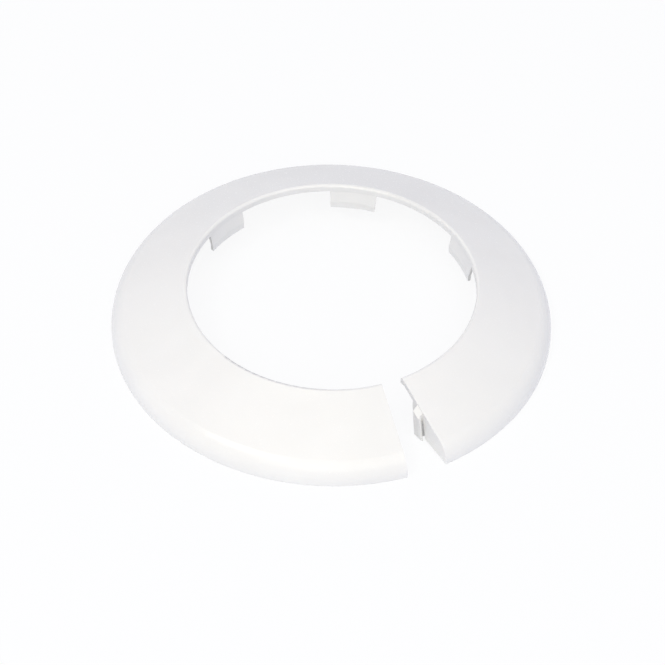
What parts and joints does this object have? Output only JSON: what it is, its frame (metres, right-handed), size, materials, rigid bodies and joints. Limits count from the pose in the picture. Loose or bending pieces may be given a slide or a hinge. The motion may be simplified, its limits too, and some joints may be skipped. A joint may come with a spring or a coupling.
{
  "type": "soil pipe collar",
  "caption": "Domed white split collar that snaps round a 110 mm soil pipe and covers the hole where the pipe passes a wall.",
  "frame": {"origin": "on the pipe's axis, in the plane of the rim that rests on the wall", "axes": "+Z along the pipe, away from the wall; the cut is at -Y, with the hook on its +X side; +X is to the right of the cut"},
  "size_m": [0.174, 0.1738, 0.02],
  "materials": {
    "moulded_white": "smooth glossy injection moulding"
  },
  "bodies": {
    "root": {"collar": "moulded_white"}
  },
  "joints": []
}
